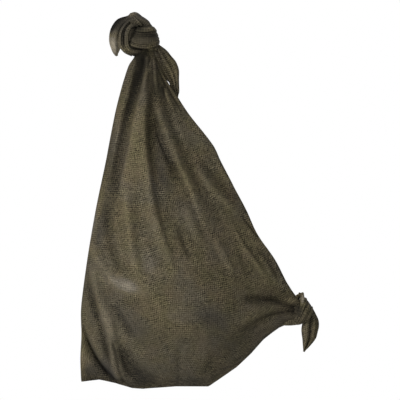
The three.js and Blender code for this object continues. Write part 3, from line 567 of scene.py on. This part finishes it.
def nearest_on(line, x, z):
    """Distance of points from a line, the hand of it they are on, and their share along it."""
    start, step = line[:-1], np.diff(line, axis=0)
    ox = x[:, None] - start[:, 0]
    oz = z[:, None] - start[:, 1]
    t = np.clip((ox * step[:, 0] + oz * step[:, 1]) / (step ** 2).sum(1), 0, 1)
    away = np.hypot(ox - t * step[:, 0], oz - t * step[:, 1])
    best = away.argmin(1)[:, None]
    distance = np.take_along_axis(away, best, 1)[:, 0]
    hand = np.take_along_axis(step[:, 0] * oz - step[:, 1] * ox, best, 1)[:, 0]
    along = (best[:, 0] + np.take_along_axis(t, best, 1)[:, 0]) / len(step)
    return distance, hand, along


def fold_rise(values, x, z):
    """Rise of one fold at points of the front view."""
    fold = dict(zip(FOLD_COLUMNS, values))
    places = np.linspace(0, len(fold["points"]) - 1, FOLD_STEPS + 1)
    line = between(fold["points"], places)
    reach = FOLD_REACH * max(fold["left"], fold["right"])
    low = line.min(0) - reach
    high = line.max(0) + reach
    near = (x > low[0]) & (x < high[0]) & (z > low[1]) & (z < high[1])
    rise = np.zeros_like(x)
    if not near.any():
        return rise
    distance, hand, along = nearest_on(line, x[near], z[near])
    width = np.where(hand > 0, fold["left"], fold["right"])
    across = hump(distance / (FOLD_REACH * width))
    comes = ease(along / fold["fade_in"]) if fold["fade_in"] > 0 else 1
    goes = ease((1 - along) / fold["fade_out"]) if fold["fade_out"] > 0 else 1
    rise[near] = fold["rise"] * comes * goes * across ** 2
    return rise


def folds_at(folds, half_depth, x, z):
    """Rise of all folds. Valleys together never reach the middle of the cloth."""
    total = sum(fold_rise(fold, x, z) for fold in folds)
    limit = np.maximum(VALLEY_LIMIT * half_depth, LEAST_LIMIT)
    ridges = total * np.minimum(1, half_depth / RIDGE_FULL_DEPTH)
    valleys = limit * np.tanh(total / limit)
    return np.where(total > 0, ridges, valleys)


def lumps_at(x, z, seed):
    """Unevenness of the cloth at points of the front view."""
    total = np.zeros_like(x)
    for size, height in LUMPS:
        lumps = [noise.noise((a, b, seed)) for a, b in zip(x / size, z / size)]
        total += height * np.array(lumps)
    return total


def folded_depth(plain, x, z, is_front):
    """Half depth of one face, from its half depth without folds."""
    rise = folds_at(FRONT_FOLDS if is_front else BACK_FOLDS, plain, x, z)
    shallow = np.minimum(1, plain / RIDGE_FULL_DEPTH)
    if is_front:
        rise = rise + shallow * sum(fold_rise(crease, x, z) for crease in FRONT_CREASES)
    seed = FRONT_LUMPS_SEED if is_front else BACK_LUMPS_SEED
    rise = rise + shallow * lumps_at(x, z, seed)
    return np.maximum(EDGE_HALF, plain + rise)


def cloth_face(is_front):
    """Points of one face of the bag, in rows across it."""
    rows = (len(SECTIONS) - 1) * ROWS_PER_SECTION
    table = between(SECTIONS, np.arange(rows + 1) / ROWS_PER_SECTION)
    section = {name: values[:, None] for name, values in zip(SECTION_COLUMNS, table.T)}
    columns = FRONT_COLUMNS if is_front else BACK_COLUMNS
    u = (np.arange(columns + 1) / columns)[None, :] ** COLUMN_CROWDING
    right_x = section["right_x"] - (section["recess"] if is_front else 0)
    x = section["left_x"] + (right_x - section["left_x"]) * u
    z = section["left_z"] + (section["right_z"] - section["left_z"]) * u - section["sag"] * drop(u)
    power = ROUND_LEFT + (ROUND_RIGHT - ROUND_LEFT) * u
    full = section["front"] if is_front else section["back"]
    plain = full * np.sin(np.pi * u ** ROUND_SKEW).clip(0) ** power
    plain = plain + section["lip"] * u ** LIP_POWER
    depth = folded_depth(plain.ravel(), x.ravel(), z.ravel(), is_front).reshape(x.shape)
    depth[:, 0] = 0
    return np.stack([x, -depth if is_front else depth, z], -1)


def smoothed(grid, rounds):
    """Grid of numbers averaged with its neighbours again and again."""
    for _ in range(rounds):
        padded = np.pad(grid, 1, mode="edge")
        grid = (padded[:-2, 1:-1] + padded[2:, 1:-1] + padded[1:-1, :-2] + padded[1:-1, 2:]) / 4
    return grid


def wear_and_shading_of(points, patches):
    """Light and dark of the patches at points of the front view."""
    total = np.zeros(points.shape[:-1])
    for x, z, half_long, half_across, slope, amount in chain(*patches.values()):
        turn = math.radians(slope)
        right, up = points[..., 0] - x, points[..., 2] - z
        long = (right * math.cos(turn) + up * math.sin(turn)) / half_long
        across = (up * math.cos(turn) - right * math.sin(turn)) / half_across
        total += amount * np.exp(-PATCH_FADE * (long ** 2 + across ** 2))
    return total


def crest_of(points, rounds):
    """How far the cloth stands out from its surroundings, from -1 to 1."""
    depth = np.abs(points[..., 1])
    return np.tanh((depth - smoothed(depth, rounds)) / CREST_HEIGHT)


def thread_places(points, first_column):
    """Places of the points in the flat cloth, across and along."""
    steps_across = np.linalg.norm(np.diff(points, axis=1), axis=-1)
    across = np.concatenate([np.zeros((len(points), 1)), steps_across.cumsum(1)], 1)
    across = across - across[:, first_column:first_column + 1]
    steps_along = np.linalg.norm(np.diff(points, axis=0), axis=-1)
    along = np.concatenate([np.zeros((1, points.shape[1])), steps_along.cumsum(0)], 0)
    return across, along


def add_mesh(name, points, faces, attributes, material):
    mesh = bpy.data.meshes.new(name)
    mesh.from_pydata((points * MM).tolist(), [], faces)
    for key, values in attributes.items():
        layer = mesh.attributes.new(key, "FLOAT", "POINT")
        layer.data.foreach_set("value", np.asarray(values, np.float32).ravel())
    mesh.polygons.foreach_set("use_smooth", [True] * len(mesh.polygons))
    mesh.materials.append(material)
    mesh.update()
    piece = bpy.data.objects.new(name, mesh)
    bpy.context.scene.collection.objects.link(piece)
    return piece


def thicken(piece, thick):
    """Gives a sheet its thickness, away from its normals."""
    solid = piece.modifiers.new("thickness", "SOLIDIFY")
    solid.thickness = thick * MM
    solid.offset = -1
    solid.use_even_offset = False
    with bpy.context.temp_override(object=piece, active_object=piece):
        bpy.ops.object.modifier_apply(modifier=solid.name)


def grid_faces(rows, columns):
    i = np.arange(rows - 1)[:, None] * columns + np.arange(columns - 1)[None, :]
    return np.stack([i, i + columns, i + columns + 1, i + 1], -1).reshape(-1, 4)


def bottom_faces(left_corner):
    """Faces of the bottom fold. The front has two columns to each one of the back."""
    faces = []
    for k in range(BACK_COLUMNS):
        inner, middle, outer = (left_corner - 2 * k - step for step in range(3))
        back_inner = left_corner + k
        faces.append([outer, back_inner + 1, middle])
        faces.append([middle, back_inner + 1, back_inner])
        if k > 0:
            faces.append([middle, back_inner, inner])
    return faces


def round_left_edge(front, back):
    """One grid, from the right edge of the front round the left edge to that of the back."""
    return np.concatenate([front[:, ::-1], back[:, 1:]], 1)


def cloth_sheet(name, points, more_faces, first_column, crest, wear_and_shading, material):
    """A sheet of the cloth with its thickness, from a grid of points."""
    across, along = thread_places(points, first_column)
    attributes = {"across": across, "along": along, "crest": crest, "wear_and_shading": wear_and_shading}
    faces = grid_faces(*points.shape[:2]).tolist() + more_faces
    piece = add_mesh(name, points.reshape(-1, 3), faces, attributes, material)
    thicken(piece, CLOTH_THICK)
    return piece


def bag_body(material):
    """The cloth of the bag: one sheet, folded along its left edge and its bottom."""
    front = cloth_face(True)
    back = cloth_face(False)
    points = round_left_edge(front, back)
    rows, columns = points.shape[:2]
    crest = round_left_edge(crest_of(front, FRONT_CREST_ROUNDS), crest_of(back, BACK_CREST_ROUNDS))
    back_wear_and_shading = wear_and_shading_of(back, FRONT_PATCHES) * BACK_WEAR_AND_SHADING
    wear_and_shading = round_left_edge(wear_and_shading_of(front, FRONT_PATCHES), back_wear_and_shading)
    bottom = bottom_faces((rows - 1) * columns + FRONT_COLUMNS)
    return cloth_sheet("bag_body", points, bottom, FRONT_COLUMNS, crest, wear_and_shading, material)


def path_of(rows, steps, closed):
    """Rows along a smooth path, with the direction at each."""
    if closed:
        rows = np.concatenate([rows[-OVERLAP:], rows, rows[:OVERLAP]])
        places = OVERLAP + np.arange(steps) / steps * (len(rows) - 2 * OVERLAP)
    else:
        places = np.linspace(0, len(rows) - 1, steps)
    last = len(rows) - 1
    table = between(rows, places)
    ahead = between(rows, np.minimum(last, places + DIRECTION_STEP))
    behind = between(rows, np.maximum(0, places - DIRECTION_STEP))
    return table, unit(ahead[:, :3] - behind[:, :3])


def sides_of(table, tangent, middle):
    """Directions outwards and across the path, square to it. Without a middle it faces the front."""
    out = table[:, :3] - np.array(middle, float) if middle else np.zeros_like(tangent) + (0, -1, 0)
    out = unit(out - (out * tangent).sum(-1, keepdims=True) * tangent)
    return out, np.cross(tangent, out)


def strand_ridges(angle, along, closed, seed):
    """Height of the small ridges along a strand, which twist a little where it has ends."""
    random = np.random.default_rng(seed)
    ridges = np.zeros((len(along), STRAND_SIDES))
    for count, height in STRAND_RIDGES:
        twist = 0 if closed else random.uniform(-MOST_TWIST, MOST_TWIST)
        phase = random.uniform(0, 2 * np.pi)
        ridges = ridges + height * np.cos(count * angle[None, :] + phase + twist * along / TWIST_LENGTH)
    return ridges


def strand_faces(steps, closed):
    """Faces round a strand, with one more at each end where it has ends."""
    index = np.arange(steps * STRAND_SIDES).reshape(steps, STRAND_SIDES)
    around = np.concatenate([index, index[:, :1]], 1)
    if closed:
        around = np.concatenate([around, around[:1]])
    faces = np.stack([around[:-1, :-1], around[:-1, 1:], around[1:, 1:], around[1:, :-1]], -1)
    faces = faces.reshape(-1, 4).tolist()
    if not closed:
        faces += [index[0, ::-1].tolist(), index[-1].tolist()]
    return faces


def squarish(wave):
    """Sine or cosine of a section that is squarer than an ellipse."""
    return np.sign(wave) * np.abs(wave) ** SQUARENESS


def strand(rows, middle, closed, seed):
    """A rolled pleat: its points, its faces, and its attributes across, along and crest."""
    steps = ROUND_STEPS if closed else STRAND_STEPS
    table, tangent = path_of(np.array(rows, float), steps, closed)
    out, across = sides_of(table, tangent, middle)
    angle = 2 * np.pi * np.arange(STRAND_SIDES) / STRAND_SIDES
    length = np.linalg.norm(np.diff(table[:, :3], axis=0), axis=-1).cumsum()
    along = np.concatenate([[0], length])[:, None]
    ridges = strand_ridges(angle, along, closed, seed)
    half_width = table[:, 3:4] / 2 + ridges
    half_thick = table[:, 4:5] / 2 + ridges
    points = table[:, None, :3] + across[:, None] * (squarish(np.cos(angle)) * half_width)[..., None]
    points = points + out[:, None] * (squarish(np.sin(angle)) * half_thick)[..., None]
    round_it = angle * (table[:, 3:4] + table[:, 4:5]) / 4
    # Faces turned in towards the knot count as hollows, which the colour paints in shade.
    crest = np.tanh(np.sin(angle) * CREST_OUTWARDS - CREST_LOSS + ridges * CREST_OF_RIDGES)
    attributes = [np.broadcast_to(values, crest.shape).ravel() for values in (round_it, along, crest)]
    return points.reshape(-1, 3), strand_faces(steps, closed), attributes


def round_rows(values):
    """Rows of a pleat that goes right round a knot."""
    ring = dict(zip(ROUND_COLUMNS, values))
    turn = math.radians(ring["angle"])
    rows = []
    for step in range(ROUND_ROWS):
        a = 2 * math.pi * step / ROUND_ROWS
        span = ring["half"] * math.cos(a)
        depth = math.sin(a) * (ring["front"] if math.sin(a) > 0 else ring["back"])
        down = ring["sag"] * max(0.0, math.sin(a)) ** 2
        x = ring["x"] + span * math.cos(turn) + down * math.sin(turn)
        z = ring["z"] + span * math.sin(turn) - down * math.cos(turn)
        rows.append((x, -depth, z, ring["width"], ring["thick"]))
    return rows


def knot(name, strands, rounds, middle, wear_and_shading, material):
    """A knot of rolled pleats, joined in one piece."""
    parts = [strand(rows, None if key in FACES_FRONT else middle, False, seed)
             for seed, (key, rows) in enumerate(strands.items())]
    parts += [strand(round_rows(values), middle, True, FIRST_ROUND_SEED + seed)
              for seed, values in enumerate(rounds)]
    points = np.concatenate([part[0] for part in parts])
    faces, start = [], 0
    for part_points, part_faces, _ in parts:
        faces += [[start + corner for corner in face] for face in part_faces]
        start += len(part_points)
    across, along, crest = zip(*[part[2] for part in parts])
    across = [values + STRAND_SHIFT * order for order, values in enumerate(across)]
    attributes = {
        "across": np.concatenate(across), "along": np.concatenate(along),
        "crest": np.concatenate(crest), "wear_and_shading": wear_and_shading + wear_and_shading_of(points, KNOT_PATCHES),
    }
    return add_mesh(name, points, faces, attributes, material)


def tail(name, form, material):
    """A free end of the cloth."""
    rows = np.array(form["rows"], float)
    table = between(rows, np.linspace(0, len(rows) - 1, TAIL_STEPS))
    place = np.linspace(-1, 1, TAIL_COLUMNS + 1)
    share = (place + 1)[None, :, None] / 2
    left, right = table[:, None, :3], table[:, None, 3:6]
    points = left * (1 - share) + right * share
    height = sum(h * hump((place - at) / (PLEAT_REACH * half)) for at, h, half in form["pleats"])
    width = np.linalg.norm(table[:, 3:6] - table[:, :3], axis=1)[:, None]
    fade = np.clip(width / PLEAT_FULL_WIDTH, 0, 1)
    points[..., 1] -= height[None, :] * fade + table[:, 6:7] * (1 - place ** 2)
    crest = np.tanh((height - height.mean()) / PLEAT_CREST_HEIGHT)
    crest = np.broadcast_to(crest, points.shape[:2])
    wear_and_shading = form["wear_and_shading"] + wear_and_shading_of(points, KNOT_PATCHES)
    return cloth_sheet(name, points, [], TAIL_COLUMNS // 2, crest, wear_and_shading, material)


def linear(red, green, blue):
    """Colour from 0 to 255 in the picture as the shader takes it, by the standard curve."""
    def channel(value):
        share = value / 255
        return share / 12.92 if value <= 10 else ((share + 0.055) / 1.055) ** 2.4
    return channel(red), channel(green), channel(blue), 1


class Nodes:
    """Short calls that add shader nodes and link them."""

    def __init__(self, tree):
        self.tree = tree

    def add(self, kind, inputs=None, **settings):
        node = self.tree.nodes.new(kind)
        for key, value in settings.items():
            setattr(node, key, value)
        for key, value in (inputs or {}).items():
            if isinstance(value, bpy.types.NodeSocket):
                self.tree.links.new(value, node.inputs[key])
            else:
                node.inputs[key].default_value = value
        return node

    def math(self, operation, first, second=0.0):
        return self.add("ShaderNodeMath", {0: first, 1: second}, operation=operation).outputs[0]

    def plus(self, first, *others):
        for other in others:
            first = self.math("ADD", first, other)
        return first

    def times(self, first, second):
        return self.math("MULTIPLY", first, second)

    def odd(self, whole):
        """1 where a whole number is odd, and 0 where it is even."""
        return self.math("MODULO", self.math("ABSOLUTE", whole), 2.0)

    def value_of(self, name):
        return self.add("ShaderNodeAttribute", attribute_name=name).outputs["Fac"]

    def pair(self, x, y):
        return self.add("ShaderNodeCombineXYZ", {0: x, 1: y}).outputs[0]

    def noise(self, place, name):
        scale, detail, rough = NOISES[name]
        inputs = {"Vector": place, "Scale": scale, "Detail": detail, "Roughness": rough}
        return self.add("ShaderNodeTexNoise", inputs).outputs["Fac"]

    def turned(self, value, name):
        """Value turned from the first range of its name into the second."""
        low, high, to_low, to_high = RANGES[name]
        inputs = {0: value, 1: low, 2: high, 3: to_low, 4: to_high}
        return self.add("ShaderNodeMapRange", inputs).outputs[0]

    def blend(self, share, first, second, mode="MIX"):
        inputs = {0: share, 6: first, 7: second}
        return self.add("ShaderNodeMix", inputs, data_type="RGBA", blend_type=mode).outputs[2]


def round_thread(n, position):
    """Height across one thread, from 0 at its sides to 1."""
    middle = n.math("SUBTRACT", n.math("FRACT", position), 0.5)
    away = n.math("ABSOLUTE", n.times(middle, 2.0))
    return n.math("SUBTRACT", 1.0, n.math("POWER", away, 2.0))


def dipping(n, thread, other):
    """Height of a thread that dips between the threads it crosses."""
    return n.times(thread, n.plus(1 - THREAD_DIP, n.times(other, THREAD_DIP)))


def on_top(n, warp_is_up, warp, weft):
    """The value of whichever thread is up."""
    return n.plus(n.times(warp, warp_is_up), n.times(weft, n.math("SUBTRACT", 1.0, warp_is_up)))


def threads_at(n, place):
    """Places in threads across and along, which wobble, and their row and column."""
    wobble = n.turned(n.noise(place, "wobble"), "wobble")
    across = n.plus(n.math("DIVIDE", n.value_of("across"), THREAD_PITCH), wobble)
    along = n.plus(n.math("DIVIDE", n.value_of("along"), THREAD_PITCH), wobble)
    return across, along, n.math("FLOOR", along), n.math("FLOOR", across)


def weave_height(n, across, along, warp_is_up):
    """Height of the cloth, where each thread goes over and under those it crosses."""
    warp, weft = round_thread(n, across), round_thread(n, along)
    return on_top(n, warp_is_up, dipping(n, warp, weft), dipping(n, weft, warp))


def thread_tone(n, across, along, row, column, warp_is_up, grain):
    """Tone along each thread, of each crossing, of the grain, and of every other thread."""
    down = n.pair(n.times(column, THREAD_STRIDE), n.times(along, TONE_STRETCH))
    sideways = n.pair(n.times(across, TONE_STRETCH), n.times(row, THREAD_STRIDE))
    warp = n.turned(n.noise(down, "thread"), "warp")
    weft = n.turned(n.noise(sideways, "thread"), "weft")
    cell = n.pair(column, row)
    crossing = n.add("ShaderNodeTexWhiteNoise", {"Vector": cell}, noise_dimensions="3D").outputs[0]
    return n.plus(
        on_top(n, warp_is_up, warp, weft), n.turned(crossing, "crossing"), n.turned(grain, "grain"),
        n.turned(n.odd(row), "other row"), n.turned(n.odd(column), "other column"))


def plain_colour(n, place, mottle, wear_and_shading):
    """Olive and brown cloth, ashy in places and where it is darker or paler, from worn places and from
    painted shade and highlights.
    """
    colour = n.blend(n.turned(mottle, "brown"), linear(*OLIVE), linear(*BROWN))
    ashy = n.plus(n.turned(n.noise(place, "ashy"), "ashy"),
                  n.plus(n.turned(wear_and_shading, "ashy where darkened"), n.turned(wear_and_shading, "ashy where lightened")))
    return n.blend(n.math("MINIMUM", ashy, 1.0), colour, linear(*ASH))


def cloth_colour(n, place, wear_and_shading, threads, weave):
    """The plain colour, lighter and darker with threads, worn places, stains, painted shade and light,
    weave and crests.
    """
    mottle = n.noise(place, "mottle")
    thread_contrast = n.plus(n.turned(wear_and_shading, "thread_contrast"), n.turned(wear_and_shading, "most_thread_contrast"))
    patchy = n.turned(n.noise(place, "patchy"), "patchy")
    tone = n.plus(
        n.times(threads, n.times(thread_contrast, patchy)), wear_and_shading, n.turned(mottle, "mottle"),
        n.turned(n.noise(place, "stain"), "stain"), n.turned(weave, "weave"),
        n.times(n.value_of("crest"), CREST_WEAR_AND_SHADE))
    share = n.math("MAXIMUM", n.plus(1.0, tone), DARKEST)
    bright = n.add("ShaderNodeCombineColor", {0: share, 1: share, 2: share}).outputs[0]
    return n.blend(1.0, plain_colour(n, place, mottle, wear_and_shading), bright, "MULTIPLY")


def cloth_relief(n, wear_and_shading, grain, weave):
    """The weave, flatter where the cloth is dark, with a finer grain on it."""
    height = n.plus(n.times(weave, n.turned(wear_and_shading, "relief")), n.times(grain, GRAIN_RELIEF))
    inputs = {"Height": height, "Strength": BUMP_STRENGTH, "Distance": THREAD_RELIEF * MM}
    return n.add("ShaderNodeBump", inputs).outputs[0]


def new_material(name):
    material = bpy.data.materials.new(name)
    material.use_nodes = True
    return material, material.node_tree.nodes["Principled BSDF"]


def burlap_material():
    """Coarse plain weave of uneven threads, with its worn places and stains, and painted shade and
    highlights.
    """
    material, shader = new_material("burlap")
    tree = material.node_tree
    n = Nodes(tree)
    place = n.add("ShaderNodeTexCoord").outputs["Object"]
    wear_and_shading = n.value_of("wear_and_shading")
    grain = n.noise(place, "grain")
    across, along, row, column = threads_at(n, place)
    warp_is_up = n.math("GREATER_THAN", n.odd(n.plus(row, column)), 0.5)
    weave = weave_height(n, across, along, warp_is_up)
    threads = thread_tone(n, across, along, row, column, warp_is_up, grain)
    tree.links.new(cloth_colour(n, place, wear_and_shading, threads, weave), shader.inputs["Base Color"])
    tree.links.new(cloth_relief(n, wear_and_shading, grain, weave), shader.inputs["Normal"])
    shader.inputs["Roughness"].default_value = ROUGHNESS
    shader.inputs["Specular IOR Level"].default_value = SPECULAR
    return material


def at_pixel(px, py):
    """Place in the front view of a pixel of the photograph."""
    x = (px - ORIGIN_PIXEL[0]) * PIXEL
    z = (ORIGIN_PIXEL[1] - py) * PIXEL
    return x, z


def camera():
    x, z = at_pixel(PICTURE / 2, PICTURE / 2)
    data = bpy.data.cameras.new("camera")
    data.sensor_width = SENSOR_WIDTH
    data.lens = SENSOR_WIDTH * CAMERA_DISTANCE / (PICTURE * PIXEL)
    data.clip_end = FARTHEST_SEEN
    eye = bpy.data.objects.new("camera", data)
    eye.location = (x, -CAMERA_DISTANCE, z)
    eye.rotation_euler = (math.radians(90), 0, 0)
    bpy.context.scene.collection.objects.link(eye)
    bpy.context.scene.camera = eye


def light(name, place, size, watts, colour):
    data = bpy.data.lights.new(name, "AREA")
    data.size = size
    data.energy = watts
    data.color = colour
    lamp = bpy.data.objects.new(name, data)
    lamp.location = place
    lamp.rotation_euler = (Vector(LAMPS_FACE) - Vector(place)).to_track_quat("-Z", "Y").to_euler()
    bpy.context.scene.collection.objects.link(lamp)


def studio():
    """Lamps, and a world that looks white but lights the bag faintly."""
    bpy.context.scene.view_settings.view_transform = "Standard"
    for lamp in LAMPS:
        light(*lamp)
    world = bpy.data.worlds.new("world")
    bpy.context.scene.world = world
    world.use_nodes = True
    n = Nodes(world.node_tree)
    shown = n.add("ShaderNodeBackground", {"Color": WHITE, "Strength": 1.0})
    lit = n.add("ShaderNodeBackground", {"Color": WHITE, "Strength": WORLD_LIGHT})
    seen = n.add("ShaderNodeLightPath").outputs["Is Camera Ray"]
    mixed = n.add("ShaderNodeMixShader", {0: seen, 1: lit.outputs[0], 2: shown.outputs[0]})
    world.node_tree.links.new(mixed.outputs[0], world.node_tree.nodes["World Output"].inputs[0])


def floor():
    half, z = FLOOR_HALF, FLOOR_Z
    points = np.array([(-half, -half, z), (half, -half, z), (half, half, z), (-half, half, z)])
    material, shader = new_material("floor")
    shader.inputs["Base Color"].default_value = FLOOR_COLOUR
    slab = add_mesh("floor", points / MM, [[0, 1, 2, 3]], {}, material)


burlap = burlap_material()
body = bag_body(burlap)
knots = [
    knot("top_knot", TOP_STRANDS, [], TOP_MIDDLE, TOP_KNOT_DARKENING, burlap),
    knot("side_knot", SIDE_STRANDS, SIDE_ROUNDS, SIDE_MIDDLE, SIDE_KNOT_DARKENING, burlap),
]
tails = [tail(name, form, burlap) for name, form in TAILS.items()]
for piece in [body, *knots, *tails]:
    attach(piece, "root")
    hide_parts("burlap_cloth")
camera()
studio()
floor()
